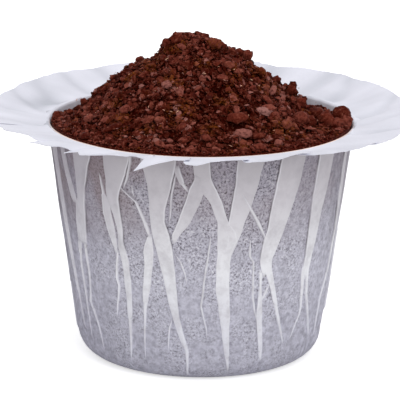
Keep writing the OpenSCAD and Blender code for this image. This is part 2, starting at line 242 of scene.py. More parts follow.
class Shader:
    """A node tree being built: each call adds one node, sets its inputs and returns its output."""

    def __init__(self, owner, surface="Principled BSDF"):
        """owner: a new material, or a world with its "Background" as the surface."""
        owner.use_nodes = True
        self.nodes, self.links = owner.node_tree.nodes, owner.node_tree.links
        self.surface = self.nodes[surface].inputs

    def put(self, socket, value):
        if isinstance(value, bpy.types.NodeSocket):
            self.links.new(value, socket)
        else:
            socket.default_value = value

    def dress(self, settings):
        """Set or link the inputs of the surface."""
        for name, value in settings.items():
            self.put(self.surface[name], value)

    def node(self, kind, out=0, inputs=None, **settings):
        n = self.nodes.new(kind)
        for key, value in settings.items():
            setattr(n, key, value)
        for key, value in (inputs or {}).items():
            self.put(n.inputs[key], value)
        return n.outputs[out]

    def place(self):
        return self.node("ShaderNodeTexCoord", "Object")

    def value(self, name):
        return self.node("ShaderNodeAttribute", "Fac", attribute_name=name)

    def noise(self, scale, detail=2.0, roughness=0.5, vector=None):
        return self.node("ShaderNodeTexNoise", "Fac", {
            "Vector": vector or self.place(), "Scale": scale, "Detail": detail, "Roughness": roughness})

    def math(self, operation, a, b=0.0):
        return self.node("ShaderNodeMath", 0, {0: a, 1: b}, operation=operation)

    def spread(self, value, low, high, to_low=0.0, to_high=1.0):
        return self.node("ShaderNodeMapRange", 0, {
            "Value": value, "From Min": low, "From Max": high, "To Min": to_low, "To Max": to_high})

    def mix(self, factor, a, b, blend="MIX"):
        n = self.nodes.new("ShaderNodeMix")
        n.data_type, n.blend_type = "RGBA", blend
        self.put(n.inputs[0], factor)
        self.put(n.inputs[6], a)
        self.put(n.inputs[7], b)
        return n.outputs[2]

    def ramp(self, factor, stops):
        n = self.nodes.new("ShaderNodeValToRGB")
        self.put(n.inputs[0], factor)
        ramp = n.color_ramp
        while len(ramp.elements) < len(stops):
            ramp.elements.new(0.5)
        for element, (position, colour) in zip(ramp.elements, stops):
            element.position, element.color = position, colour
        return n.outputs[0]

    def seen(self):
        """1 for rays from the camera, reflections and glass, 0 for light."""
        rays = [self.node("ShaderNodeLightPath", f"Is {kind} Ray")
                for kind in ("Camera", "Glossy", "Transmission")]
        return self.math("MAXIMUM", rays[0], self.math("MAXIMUM", rays[1], rays[2]))

    def stretch(self, scale):
        return self.node("ShaderNodeMapping", 0, {"Vector": self.place(), "Scale": scale})

    def bump(self, height, distance, strength=1.0):
        settings = {"Height": height, "Distance": distance, "Strength": strength}
        self.dress({"Normal": self.node("ShaderNodeBump", 0, settings)})


def srgb(*values):
    """A colour from three sRGB values of 0 to 255."""
    return tuple(v / 255 / 12.92 if v <= 10 else ((v / 255 + 0.055) / 1.055) ** 2.4 for v in values) + (1.0,)


# Materials


def filter_paper():
    """Creped paper. Where it is one layer ("layers" 0) the dark grounds show through as a mottled
    grey, and where it is folded or stands free it is nearly white. "gap" is painted shadow in the
    slit under a loose edge, "fold" a painted highlight along one, "stain" a painted warm highlight
    along the front of the mouth's fold, and "shade" long soft streaks, with painted shade beside
    the brim's folds and in its hollows. The wall also carries painted shade under the brim, towards
    the foot and on its left side."""
    material = bpy.data.materials.new("filter_paper")
    s = Shader(material)
    height = s.node("ShaderNodeSeparateXYZ", "Z", {0: s.place()})
    down = s.spread(height, 0.0, CUP_H * MM)

    # Grounds seen through one layer: soft mottles everywhere, crisp specks in the middle and on top
    across = s.node("ShaderNodeSeparateXYZ", "X", {0: s.place()})
    aside = s.math("ABSOLUTE", across)
    # Painted shade: the wall and its pleats are darkened on the left side, away from the key light.
    left = s.spread(across, -0.021, -0.01, 0.75, 0.0)
    specks = s.noise(3100, 3.0, 0.8)
    crisp = s.math("ADD", s.spread(s.noise(240, 3.0, 0.6), 0.38, 0.6, 0.15, 0.8),
                   s.spread(down, 0.25, 0.95, -0.12, 0.62))
    crisp = s.math("MULTIPLY", crisp, s.spread(aside, 0.01, 0.018, 1.0, 0.35))
    field = s.mix(s.spread(s.noise(1150, 2.0, 0.6), 0.32, 0.64), srgb(166, 164, 178), srgb(226, 225, 239))
    field = s.mix(s.spread(s.noise(330, 2.0, 0.6), 0.35, 0.65, 0.0, 0.4), field, srgb(194, 192, 206))
    dotted = s.ramp(specks, [
        (0.35, srgb(80, 75, 84)), (0.42, srgb(150, 147, 158)), (0.48, srgb(203, 201, 214)),
        (0.58, srgb(220, 219, 233)), (0.65, srgb(252, 252, 255))])
    single = s.mix(s.math("MINIMUM", crisp, 1.0), field, dotted)
    # Painted shade under the brim: the single layer darker and warmer towards the top.
    single = s.mix(s.spread(down, 0.45, 0.95), single, srgb(203, 198, 199), "MULTIPLY")
    # Painted shade towards the foot: the single layer darker low down.
    single = s.mix(s.spread(down, 0.5, 0.05), single, srgb(238, 238, 240), "MULTIPLY")
    brown = s.math("MULTIPLY", s.spread(s.noise(110, 2.0), 0.36, 0.58), s.spread(down, 0.55, 0.8, 0.0, 0.55))
    brown = s.math("MULTIPLY", brown, s.spread(across, -0.016, 0.002, 1.0, 0.35))
    single = s.mix(brown, single, srgb(142, 119, 116))

    # Folded paper: nearly white, greyer and warmer towards the top, partly where the grounds press on
    # it and partly as painted shade under the brim
    folded = s.ramp(down, [
        (0.0, srgb(236, 236, 248)), (0.5, srgb(250, 250, 255)), (0.8, srgb(216, 212, 218)),
        (1.0, srgb(200, 195, 199))])
    folded = s.mix(s.spread(s.noise(330, 4.0, 0.7), 0.45, 0.68, 0.0, 0.45), folded, srgb(184, 179, 186))
    free = s.mix(s.value("shade"), srgb(241, 241, 252), srgb(196, 198, 208))

    colour = s.mix(s.value("layers"), single, folded)
    colour = s.mix(s.math("MULTIPLY", s.value("shade"), 0.13), colour, srgb(110, 106, 112))
    # Painted shade on the left side of the wall.
    colour = s.mix(left, colour, srgb(222, 220, 226), "MULTIPLY")
    colour = s.mix(s.value("free"), colour, free)
    # Painted highlight along each loose fold.
    colour = s.mix(s.math("MULTIPLY", s.value("fold"), 0.5), colour, srgb(250, 250, 255))
    # Painted shadow in the slit under each loose edge.
    colour = s.mix(s.math("MULTIPLY", s.value("gap_shadow"), 0.68), colour, srgb(72, 64, 66))
    # Painted warm highlight along the front of the mouth.
    colour = s.mix(s.math("MULTIPLY", s.value("mouth_highlight"), 0.75), colour, srgb(255, 214, 188))
    s.dress({"Base Color": colour, "Roughness": 0.85, "Specular IOR Level": 0.2})
    crepe = s.noise(1.0, 2.0, 0.6, s.stretch((1500, 1500, 2600)))
    fibres = s.noise(1.0, 1.0, 0.5, s.stretch((900, 900, 260)))
    s.bump(s.math("ADD", s.math("MULTIPLY", crepe, 0.6), fibres), 0.00006, 0.7)
    return material


def ground_coffee():
    """Roasted grounds: dark red-brown, each grain with its own "tint", and dusted with gold where
    "gold" is high."""
    material = bpy.data.materials.new("ground_coffee")
    s = Shader(material)
    # The pinkish stop at 0.93 is painted sheen for the flat chips.
    body = s.ramp(s.value("tint"), [
        (0.0, srgb(48, 4, 0)), (0.3, srgb(68, 18, 9)), (0.55, srgb(99, 41, 30)),
        (0.78, srgb(134, 72, 61)), (0.93, srgb(160, 114, 108)), (1.0, srgb(234, 184, 146))])
    # Painted shade for the gaps between grains, and painted highlight flecks.
    gap_shade_and_highlight = s.noise(2300, 3.0, 0.7)
    body = s.mix(s.spread(gap_shade_and_highlight, 0.34, 0.52, 0.8, 0.0), body, srgb(44, 2, 0))
    body = s.mix(s.spread(gap_shade_and_highlight, 0.55, 0.7, 0.0, 0.5), body, srgb(152, 94, 76))
    dust = s.math("MULTIPLY", s.value("gold"), s.spread(s.noise(2600, 2.0, 0.7), 0.48, 0.62, 0.05, 0.8))
    body = s.mix(dust, body, srgb(122, 66, 18))
    s.dress({"Base Color": body, "Roughness": 0.65, "Specular IOR Level": 0.08,
             "Specular Tint": srgb(255, 150, 120)})
    s.bump(s.noise(2600, 2.0, 0.6), 0.00014, 0.7)
    return material


# The paper


def streak(a, z):
    """How dark the wall is beside a pleat."""
    a = (a + 180) % 360 - 180
    total = 0.0
    for top, foot, wide, low in STREAKS:
        off = (a - lerp(foot, top, z / CUP_H)) / wide
        total += 2.2 * math.exp(-off * off) * smooth((z - low) / 8)
    return total


def cup_profile():
    """The cup's section as (radius, height) points: up the outside from the base, round the fold to a
    collar under the brim, then back down the inside."""
    outside = [(CORNER_C * k / 6, 0.0) for k in range(1, 6)]
    for k in range(9):
        a = lerp(-math.pi / 2, -TAPER, k / 8)
        outside.append((CORNER_C + CORNER_R * math.cos(a), CORNER_R + CORNER_R * math.sin(a)))
    for k in range(1, WALL_ROWS):
        z = lerp(CORNER_TOP, FOLD_Z, k / WALL_ROWS)
        outside.append((wall_r(z), z))
    fold_c = wall_r(FOLD_Z) - LEVEL_T + FOLD_R
    turn = [lerp(math.pi, math.pi / 2, k / 6) for k in range(7)]
    r = FOLD_R - PAPER_T
    outside += [(fold_c + r * math.cos(a), FOLD_Z + r * math.sin(a)) for a in turn]
    collar_r = fold_c + 0.9
    outside.append((collar_r, CUP_H - PAPER_T - 0.2))

    inside = [(collar_r, CUP_H - 0.24), (fold_c + 0.3, CUP_H - 0.09), (fold_c + 0.12, CUP_H - 0.04)]
    inside += [(fold_c + FOLD_R * math.cos(a), FOLD_Z + FOLD_R * math.sin(a)) for a in reversed(turn)]
    for k in range(7, 0, -1):
        z = lerp(CORNER_TOP, FOLD_Z, k / 8)
        inside.append((wall_r(z) - LEVEL_T, z))
    r = CORNER_R - PAPER_T
    for k in range(6, -1, -1):
        a = lerp(-math.pi / 2, -TAPER, k / 6)
        inside.append((CORNER_C + r * math.cos(a), CORNER_R + r * math.sin(a)))
    return outside, inside


def cup_wall(material):
    """The pressed cup: base, corner, wall and fold, as a closed shell one layer thick."""
    outside, inside = cup_profile()
    profile = outside + inside
    verts, free, mouth_highlight, shade = [], [], [], []
    for j in range(WALL_STEPS):
        a = j * 360 / WALL_STEPS
        to_right, to_front = math.sin(math.radians(a)), math.cos(math.radians(a))
        # Where the painted warm highlight runs: along the front, just inside the mouth's fold.
        front = smooth((to_front + 0.1) / 0.7)
        mouth_highlight_r = wall_r(FOLD_Z) - LEVEL_T + lerp(0.1, 0.6, front)
        x, y, _ = on_ring(20.0, a, 0)
        for i, (r, z) in enumerate(profile):
            within = i >= len(outside)
            verts.append(on_ring(r + ripple(a, z) * (0.5 if within else 1), a, z))
            # Paper that stands clear of the grounds is pale: the fold's top, and the inside. The inside is
            # less pale on the left: painted shade there.
            pale = smooth((z - CUP_H + 0.35) / 0.3)
            if within:
                pale = max(pale, lerp(0.7, 1, smooth((to_right + 0.3) / 0.6)) * smooth((z - CUP_H + 3) / 0.6))
            free.append(pale)
            # The painted warm highlight on the inside of the fold, at the front.
            mouth_lit = smooth((z - CUP_H + 0.6) / 0.3) * smooth((mouth_highlight_r + 0.12 - r) / 0.12) * front
            mouth_highlight.append(mouth_lit if within else 0.0)
            shade.append(0.4 + 0.5 * noise.noise(Vector((x / 1.6, y / 1.6, z / 14))) + streak(a, z))
    n = len(profile)
    low, high = len(verts), len(verts) + 1
    verts += [(0, 0, 0), (0, 0, PAPER_T)]
    free += [0.0, 0.0]
    mouth_highlight += [0.0, 0.0]
    shade += [0.5, 0.5]
    faces = []
    for j in range(WALL_STEPS):
        a, b = j * n, (j + 1) % WALL_STEPS * n
        faces.append((low, b, a))
        faces.append((high, a + n - 1, b + n - 1))
        faces += [(a + i, b + i, b + i + 1, a + i + 1) for i in range(n - 1)]
    return new_object("cup_wall", verts, faces, material, {"free": free, "mouth_highlight": mouth_highlight, "shade": shade})


def curve_through(stations, step):
    """Points about `step` apart in height, along nearly straight runs between the stations."""
    slack = 0.16
    out = []
    for i in range(len(stations) - 1):
        p1, p2 = stations[i], stations[i + 1]
        p0 = stations[max(i - 1, 0)]
        p3 = stations[min(i + 2, len(stations) - 1)]
        count = max(2, math.ceil(abs(p1[0] - p2[0]) / step))
        for k in range(count):
            t = k / count
            bend = smooth(t)
            out.append(tuple(
                b + (c - b) * bend + slack * ((c - a) * t * (1 - t) ** 2 - (d - b) * t * t * (1 - t))
                for a, b, c, d in zip(p0, p1, p2, p3)))
    out.append(stations[-1])
    return out


def pleat_columns(width):
    """Points across a pleat from its loose edge to its root, as (distance, rise, gap, fold, layers):
    a narrow slit under the loose edge darkened with painted shadow, the fold itself with a painted
    highlight, then a flat back that runs out into the wall. A narrow crease is one low ridge."""
    if width < 0.75:
        return [(0, 0.02, 0.2, 0, 0.4), (0.28 * width, 0.62, 0, 0.6, 1), (0.5 * width, 0.8, 0, 1, 1),
                (0.74 * width, 0.6, 0, 0.4, 1), (width, 0.02, 0.1, 0, 0.4)]
    flat = [(lerp(0.3, width - 0.16, t), 1 - 0.45 * smooth((t - 0.3) / 0.7), 0, 0, 1)
            for t in (0, 0.3, 0.65, 1)]
    loose = [(-0.05, 0.02, 0, 0, 0), (0, 0.03, 1, 0, 0.2), (0.04, 0.85, 0.3, 0.5, 1), (0.15, 1, 0, 1, 1)]
    return loose + flat + [(width - 0.04, 0.4, 0, 0.45, 1), (width, 0.02, 0.15, 0, 0.5)]


def back_pleats():
    """The pleats round the back, in the form of PLEATS. Every other one has a side strand."""
    made = []
    span = 360 - 2 * BACK_START
    for k in range(BACK_COUNT):
        middle = BACK_START + span * (k + 0.5) / BACK_COUNT
        lean, width = BACK_LEAN[k % len(BACK_LEAN)], BACK_WIDTH[k % len(BACK_WIDTH)]
        trunk = [(h * 0.348, middle + lean * s - width * w / 2, middle + lean * s + width * w / 2)
                 for h, s, w in BACK_RULE]
        made.append(("left" if k % 3 else "right", trunk))
        if k % 2 == 0:
            side = -1 if lean > 0 else 1
            root = trunk[2][2] - 1.5 if side > 0 else trunk[2][1]
            made.append(("left", [(19.1, root, root + 1.5), (14, root + side * 2.2, root + side * 2.2 + 1.2),
                                  (6.3, root + side * 4, root + side * 4 + 0.6)]))
    return made


def pleats(material):
    """Every flattened pleat, each a closed thin strip that rides on the rippled wall."""
    rng = random.Random(5)
    verts, faces = [], []
    layers, gap_shadow, fold, shade = [], [], [], []

    def drift(seed, z, extra):
        return 0.22 * noise.noise(Vector((seed, z / 1.9, 0))) + 0.1 * noise.noise(extra)

    for free_side, stations in PLEATS + back_pleats():
        rows = curve_through(stations, PLEAT_STEP)
        seed = rng.uniform(0, 100)
        lift = rng.uniform(1.02, 1.12) if stations[0][0] > 34 else rng.uniform(0.84, 0.94)
        start = len(verts)
        top, foot = rows[0][0], rows[-1][0]
        wide = max(b - a for _, a, b in stations) > CREASE_DEGREES
        if not wide:
            lift = 1.45
        for z, left, right in rows:
            left += drift(seed, z, Vector((seed, z / 0.6, 5)))
            right += drift(seed + 9, z, Vector((seed, z / 0.6, 8)))
            right = max(right, left + 0.3)
            if not wide:
                spare = 0.22 * smooth(min(abs(z - top), abs(z - foot)) / 2)
                left, right = left - spare, right + spare
            per_mm = math.degrees(1 / wall_r(z))
            width = (right - left) / per_mm
            columns = pleat_columns(width if wide else min(width, CREASE_WIDTH))
            while len(columns) < PLEAT_POINTS:
                columns.insert(3, columns[3])
            stretch = 1 if wide else width / columns[-1][0]
            columns = [(d * stretch, *rest) for d, *rest in columns]
            angles = [left + c[0] * per_mm if free_side == "left" else right - c[0] * per_mm for c in columns]
            radii = [wall_r(z) + ripple(a, z) for a in angles]
            # The ends sink into the wall, and the painted shadow in the slit and the painted highlight
            # on the fold come and go along the edge.
            fade = smooth(min(abs(z - top) + (9 if top > 34 else 0), abs(z - foot)) / 0.8 + 0.1)
            # How strong the painted shadow under the loose edge is here.
            open_gap_shadow = fade * smooth(0.5 + 1.6 * noise.noise(Vector((seed + 3, z / 3.5, 0))))
            open_gap_shadow *= lerp(0.35, 1, smooth((z - 12) / 12))
            # How strong the painted highlight on the fold is here.
            fold_highlight = fade * smooth(0.75 + noise.noise(Vector((seed, z / 2.2, 6))))
            fold_highlight *= lerp(0.35, 1, smooth((z - 8) / 20))
            for (d, rise, g, f, lay), a, r in zip(columns, angles, radii):
                verts.append(on_ring(r + PLEAT_RISE * lift * rise * lerp(0.3, 1, fade), a, z))
                layers.append(lay * lerp(0.4, 1, fade))
                gap_shadow.append(g * open_gap_shadow)
                fold.append(f * fold_highlight)
                shade.append(0.5 + 0.5 * noise.noise(Vector((seed + d * 2.2, z / 9, 2))))
            for a, r in zip(reversed(angles), reversed(radii)):
                verts.append(on_ring(r - 0.08, a, z))
                layers.append(0.5)
                gap_shadow.append(0.0)
                fold.append(0.0)
                shade.append(0.5)
        ring = 2 * len(columns)
        for i in range(len(rows) - 1):
            a, b = start + i * ring, start + (i + 1) * ring
            for k in range(ring):
                m = (k + 1) % ring
                faces.append((a + k, b + k, b + m, a + m))
        faces.append(tuple(start + k for k in range(ring)))
        last = start + (len(rows) - 1) * ring
        faces.append(tuple(last + k for k in reversed(range(ring))))
    return new_object("pleats", verts, faces, material,
                      {"layers": layers, "gap_shadow": gap_shadow, "fold": fold, "shade": shade}, sharp=50)


# Panels of the brim, each lapped under the one to its left: angle of the left side, how far the
# left corner turns down, and the cut edge as (angle, radius) points from left to right.
BRIM_PANELS = [
    (-97, 0.05, [(-97, 30.8), (-88, 30.6), (-76, 30.2)]),
    (-77, 0.3, [(-77, 30.4), (-72, 30.8), (-66, 30.7), (-62, 29.6), (-55, 28.4)]),
    (-56, 0.6, [(-56, 29.4), (-52, 29.4), (-46, 29.4), (-42, 28.5), (-39, 28.2)]),
    (-41, 0.5, [(-41, 29.4), (-38, 28.2), (-35, 29.6), (-30, 29), (-26, 28.3), (-22, 28), (-19.5, 26.6),
        (-16.4, 24.6)]),
    (-18, 1.2, [(-18, 30.3), (-14, 28.6), (-9, 27.6), (-5, 27.4), (-3, 26.8)]),
    (-5, 0.2, [(-5, 28), (-4, 29.2), (-1, 29.8), (4, 28.6), (9, 27.6), (14, 27.2)]),
    (13, 0.1, [(13, 28.2), (18, 28.9), (23, 28.6), (28, 27.6), (34, 27.4)]),
    (33, 0.0, [(33, 28.6), (39, 29.8), (45, 29.8), (55, 30.6)]),
    (54, 0.0, [(54, 31.0), (62, 31.3), (76, 31.2)]),
    (75, 0.2, [(75, 31.3), (86, 31.2), (98, 31.1)]),
]
# One panel goes round the back, with tears in its edge: its left side, their number and spacing
BACK_PANEL_START, BACK_TEARS, BACK_STEP = 97, 10, 16.6

# Soft folds over the brim, each with painted shade along one side: (angle at the mouth, angle at
# the cut edge, width, depth, which also sets how dark the painted shade is)
BRIM_FOLDS = [
    (-69, -67, 0.7, 0.12), (-81, -82, 0.9, 0.25), (-94.5, -98, 0.8, 0.15), (-100, -114, 1.1, 0.3),
    (-116, -127, 1.4, 0.4), (-135, -137, 0.8, 0.35), (-152, -149, 1, 0.3), (-170, -174, 0.8, 0.3),
    (172, 168, 1, 0.3), (155, 158, 0.9, 0.3), (138.5, 139.5, 1, 0.35), (122, 132, 1, 0.35),
    (93, 109, 0.8, 0.3), (83, 94, 0.7, 0.2), (70, 76, 0.8, 0.25), (40, 44, 0.6, 0.1), (-30, -33, 0.6, 0.1),
]

# Hollows in the brim, greyed with painted shade: (angle, radius, half width, depth, how much
# painted shade)
BRIM_HOLLOWS = [
    (-112, 25.2, 3.0, 0.5, 1.5), (-97, 29, 3.0, 0.3, 0.15), (-72, 27, 3, 0.1, 0.35),
    (124, 25.5, 3.2, 0.25, 0.35), (100, 27.5, 3, 0.3, 0.4),
]


def brim_folds(a, r):
    """Soft folds that run out over the brim: how deep the paper dips there, and how much painted
    shade greys it beside the folds and in the hollows.
    """
    v = (r - MOUTH_R) / BRIM_W
    dip = painted_shade = 0.0
    for near, far, width, depth in BRIM_FOLDS:
        off = (a - lerp(near, far, v) + 180) % 360 - 180
        if abs(off) > 16:
            continue
        d = math.radians(off) * r / (width * 1.5)
        line = math.exp(-d * d) * smooth(v / 0.15) * (1 - 0.6 * smooth((v - 0.6) / 0.4))
        dip += depth * line
        # Painted shade to one side of the fold.
        painted_shade += min(0.8, depth * 2) * math.exp(-((d - 0.4) ** 2) * 1.2) * smooth(v / 0.1)
    for angle, radius, wide, deep, shade_level in BRIM_HOLLOWS:
        off = math.radians((a - angle + 180) % 360 - 180) * radius
        hollow = math.exp(-((off / wide) ** 2) - ((r - radius) / (wide * 0.8)) ** 2)
        dip += deep * hollow * smooth((v - 0.08) / 0.25)
        painted_shade += shade_level * hollow
    return dip, painted_shade


def back_panel():
    """The one panel round the back, in the form of BRIM_PANELS."""
    edge = []
    for k in range(BACK_TEARS):
        a = BACK_PANEL_START + k * BACK_STEP
        r = BRIM_R + 0.6 - 0.4 * (k % 2)
        edge += [(a, r), (a + 8, r - 0.3 + 0.3 * (k % 3)), (a + BACK_STEP - 0.6, BRIM_R + 0.1)]
    return BACK_PANEL_START, 0.1, edge


def brim(material):
    """The brim: one gently waved sheet whose panels part towards their ragged, lapped cut edge."""
    panels = BRIM_PANELS + [back_panel()]
    root_r = wall_r(FOLD_Z) - PAPER_T + FOLD_R + 0.1
    verts, faces, shade = [], [], []
    for index, (a0, droop, edge) in enumerate(panels):
        a1 = (panels[index + 1][0] if index + 1 < len(panels) else panels[0][0] + 360) + 1.6
        columns = max(12, round((a1 - a0) / BRIM_DEGREES))
        next_droop = panels[(index + 1) % len(panels)][1]
        back = smooth((abs((a0 + 180) % 360 - 180) - 78) / 14)
        angles, radii = [p[0] for p in edge], [p[1] for p in edge]
        upper, lower, greys = [], [], []
        for i in range(BRIM_ROWS + 1):
            for j in range(columns + 1):
                u, v = j / columns, i / BRIM_ROWS
                a = lerp(a0, a1, u)
                rim = float(np.interp(a, angles, radii))
                rim += 0.17 * noise.noise(Vector((a / 1.1, index, 0)))
                rim += 0.11 * noise.noise(Vector((a / 0.3, index, 7)))
                r = lerp(root_r, rim, v)
                x, y, _ = on_ring(r, a, 0)
                rise = lerp(RISE_FRONT, RISE_BACK, (1 - math.cos(math.radians(a))) / 2) * v**1.4
                wave = 0.32 * noise.noise(Vector((x / 5, y / 5, 3)))
                wave += 0.04 * noise.noise(Vector((x / 1.5, y / 1.5, 1)))
                # Each panel lies on the right end of the one before it, and parts from it outwards.
                parted = smooth((v - 0.45) / 0.4) * (1 - 0.92 * back)
                lapped = max(0.0, 1 - (a - a0) / 18)
                under = lapped * lerp(0.02, LAYER + 0.02, parted) * smooth(v / 0.1)
                thick = LAYER * lerp(1, 0.25, smooth(1 - (a1 - a) / 2.5) * (1 - parted))
                turned = (droop * lapped**3 + next_droop * smooth(1 - (a1 - a) / 5)) * v * v
                dip, line = brim_folds(a, r)
                z = CUP_H - 0.012 + rise + wave * smooth(v / 0.5) - under - turned - dip
                upper.append(on_ring(r, a, z))
                lower.append(on_ring(r, a, z - thick))
                # The shade: random clouds, and the painted shade beside the folds and in the hollows.
                cloud = noise.noise(Vector((x / 6, y / 6, 9))) + 0.4 * noise.noise(Vector((a / 4, r / 14, 5)))
                greys.append(min(1.0, 0.25 + 0.3 * cloud + 0.5 * line))
        n = columns + 1
        under_side = len(upper)
        start = len(verts)
        verts += upper + lower
        shade += greys * 2
        for i in range(BRIM_ROWS):
            for j in range(columns):
                a = start + i * n + j
                faces.append((a, a + n, a + n + 1, a + 1))
                a += under_side
                faces.append((a, a + 1, a + n + 1, a + n))
        rim = list(range(n)) + [i * n + n - 1 for i in range(1, BRIM_ROWS + 1)]
        rim += [BRIM_ROWS * n + j for j in range(n - 2, -1, -1)]
        rim += [i * n for i in range(BRIM_ROWS - 1, 0, -1)]
        for k, p in enumerate(rim):
            q = rim[(k + 1) % len(rim)]
            faces.append((start + p, start + q, start + q + under_side, start + p + under_side))
    return new_object("brim", verts, faces, material, {"free": [1.0] * len(verts), "shade": shade}, sharp=60)


# The coffee

# How far the loose grains' bed lies under the solid heap
SETTLE = 0.4

# Chips that lie on the heap: (pixel across, pixel down, width, length, thickness, tint)
CHIPS = [
    (263, 113.5, 2.6, 2.0, 0.7, 0.9), (268, 109.5, 2.1, 1.2, 0.6, 0.72), (243, 135.5, 2.7, 2.3, 0.9, 0.83),
    (238, 119.5, 3.3, 1.8, 0.8, 0.55), (259, 138, 2.5, 1.4, 0.8, 0.5), (259, 149, 2.2, 1.6, 1.0, 0.6),
    (166.5, 86.5, 1.5, 1.5, 0.8, 0.84), (181, 49.5, 1.6, 1.6, 0.9, 0.72), (272, 92, 1.0, 2.0, 0.7, 0.82),
    (266, 102, 2.0, 1.4, 0.8, 0.6), (302, 118, 2.4, 2.0, 1.0, 0.6), (113, 130, 3.3, 1.8, 0.7, 0.3),
    (278, 145.5, 1.2, 1.5, 1.0, 0.8), (286, 126, 1.8, 2.4, 1.2, 0.7), (228, 66, 2.0, 1.6, 0.9, 0.66),
    (150, 122, 2.0, 1.4, 0.8, 0.62), (126, 111, 1.7, 1.5, 0.9, 0.68), (205, 140, 1.9, 1.5, 0.9, 0.6),
    (222, 80, 1.8, 1.3, 0.8, 0.6), (160, 146, 1.6, 1.6, 1.0, 0.72), (90, 120, 1.6, 1.3, 0.9, 0.75),
]
# Clods: (pixel across, pixel down, width, tint)
CLODS = [
    (340.5, 117, 3.4, 0.4), (336, 126, 2.6, 0.6), (343, 122.5, 3.0, 0.66), (316, 116, 2.8, 0.36),
    (326, 121, 2.6, 0.55), (300, 121, 2.8, 0.62), (310, 123, 1.9, 0.4), (327, 115, 1.6, 0.42),
    (293, 86, 1.3, 0.3), (291.5, 91, 1.6, 0.5), (350, 119, 1.5, 0.4), (304, 97, 0.9, 0.4),
    (300, 103, 1.8, 0.55), (276, 80, 1.5, 0.5), (268, 73, 1.1, 0.5), (261, 72, 1.5, 0.45),
    (247, 56, 1.9, 0.6), (239, 53, 1.5, 0.5), (232, 52.5, 1.4, 0.5), (186, 31.5, 0.8, 0.3),
    (197, 32.5, 0.8, 0.4), (176, 40, 2.0, 0.5), (167, 43, 1.5, 0.5), (163, 40.5, 0.8, 0.3),
    (141, 60, 1.5, 0.5), (133, 63, 1.3, 0.5), (113, 76, 1.0, 0.5), (102, 88.5, 0.8, 0.3),
    (94.5, 91, 0.8, 0.3), (84, 102, 1.2, 0.5), (70, 112, 1.1, 0.5), (57, 116, 1.6, 0.55),
    (214, 44, 2.2, 0.6), (204, 38, 1.6, 0.5),
]
# Hollows between lumps, where the grains are darkened with painted shade: (pixel across, pixel
# down, half width, half depth, how deep)
HOLLOWS = [
    (236.5, 126, 1.7, 0.8, 1.3), (258, 142.5, 1.5, 0.6, 1.1), (221, 90.5, 1.1, 0.9, 0.8),
    (230, 147, 1.0, 0.6, 0.9), (305, 131, 0.9, 0.9, 0.9), (119, 99, 0.8, 0.8, 0.7),
    (171, 132, 0.9, 0.8, 0.6), (199, 107, 0.9, 0.7, 0.6),
]
# Places where the heap is lower: (pixel across, pixel down, half width, half depth, how deep)
SLUMPS = [
    (76, 106, 1.9, 6.0, 0.8), (66, 112, 1.6, 5.0, 0.6), (248, 52, 1.5, 1.5, 0.35),
    (176, 34, 1.2, 1.5, 0.35), (285, 90, 1.3, 5.0, 0.8), (300, 97, 1.3, 4.0, 0.6),
    (311, 103, 1.2, 3.0, 0.3),
]
# Grounds dusted with gold: (pixel across, pixel down, radius)
GILT = [
    (178, 46, 1.6), (240, 54, 1.4), (172, 80, 1.3), (181, 110, 1.8), (284, 127, 1.5), (277, 145, 0.9),
    (132, 76, 1.2), (150, 126, 1.1), (244, 148, 1.0), (222, 100, 1.2), (120, 118, 1.2), (262, 88, 1.0),
    (203, 62, 1.1), (300, 92, 1.2),
]
# Pale curls of chaff
CHAFF = [
    (156, 92), (141, 100), (106, 101), (178, 113), (204, 75), (193, 84), (219, 68), (203, 74), (233, 71),
    (217, 114), (210, 123), (240, 88), (186, 122), (120, 109), (132, 96), (150, 108), (163, 112),
    (290, 134), (118, 131), (168, 60), (226, 83), (302, 142), (170, 73), (248, 117), (86, 127), (198, 98),
]


def heap_edge(a):
    """Height above the mouth at which the heap meets the paper."""
    back = ((1 - math.cos(math.radians(a))) / 2 - SINK_FROM) / (SINK_TO - SINK_FROM)
    return lerp(HEAP_EDGE, -HEAP_SINK, smooth(back))


def fill_r(a):
    """Radius out to which the cup is filled at the heap's edge."""
    top = CUP_H + min(-FOLD_R, heap_edge(a) - PAPER_T)
    return wall_r(top) - LEVEL_T - GROUNDS_GAP


def angle_of(x, y):
    return math.degrees(math.atan2(x, -y))


class Heap:
    """The solid heap, in millimetres, with the hollows and slumps pressed into it."""

    def __init__(self, solid):
        self.tree = BVHTree.FromPolygons(
            [v.co / MM for v in solid.vertices], [p.vertices[:] for p in solid.polygons])
        self.hollows, self.slumps, self.gilded = [
            [(self.seen_at(px, py)[0], *sizes) for px, py, *sizes in places]
            for places in (HOLLOWS, SLUMPS, GILT)]

    def gilt(self, point):
        """How much gold dust lies at a point."""
        return max(smooth(1.6 - (point - p).length / r) for p, r in self.gilded)

    def dent(self, x, y, places=None):
        """How deep the hollows, or other such places, are pressed in."""
        return sum(depth * math.exp(-(((x - p.x) / wide) ** 2) - ((y - p.y) / deep) ** 2)
                   for p, wide, deep, depth in places or self.hollows)

    def at(self, x, y):
        """Height and normal at a place, a little under the solid heap except at the paper."""
        hit = self.tree.ray_cast(Vector((x, y, 90)), Vector((0, 0, -1)))
        if not hit[0]:
            return CUP_H, Vector((0, 0, 1))
        room = fill_r(angle_of(x, y)) - math.hypot(x, y)
        z = hit[0].z - self.dent(x, y) - self.dent(x, y, self.slumps)
        return z - SETTLE * smooth(room / 2.5), hit[1]

    def seen_at(self, px, py):
        """Point and normal of the heap under a pixel of the photograph, or the nearest below it."""
        down = Vector((0, 0, -SETTLE))
        for step in range(30):
            start, way = sight(px, py + step * 0.5)
            hit = self.tree.ray_cast(start - down, way)
            if hit[0]:
                return hit[0] + down, hit[1]
        raise ValueError("no heap under this pixel")


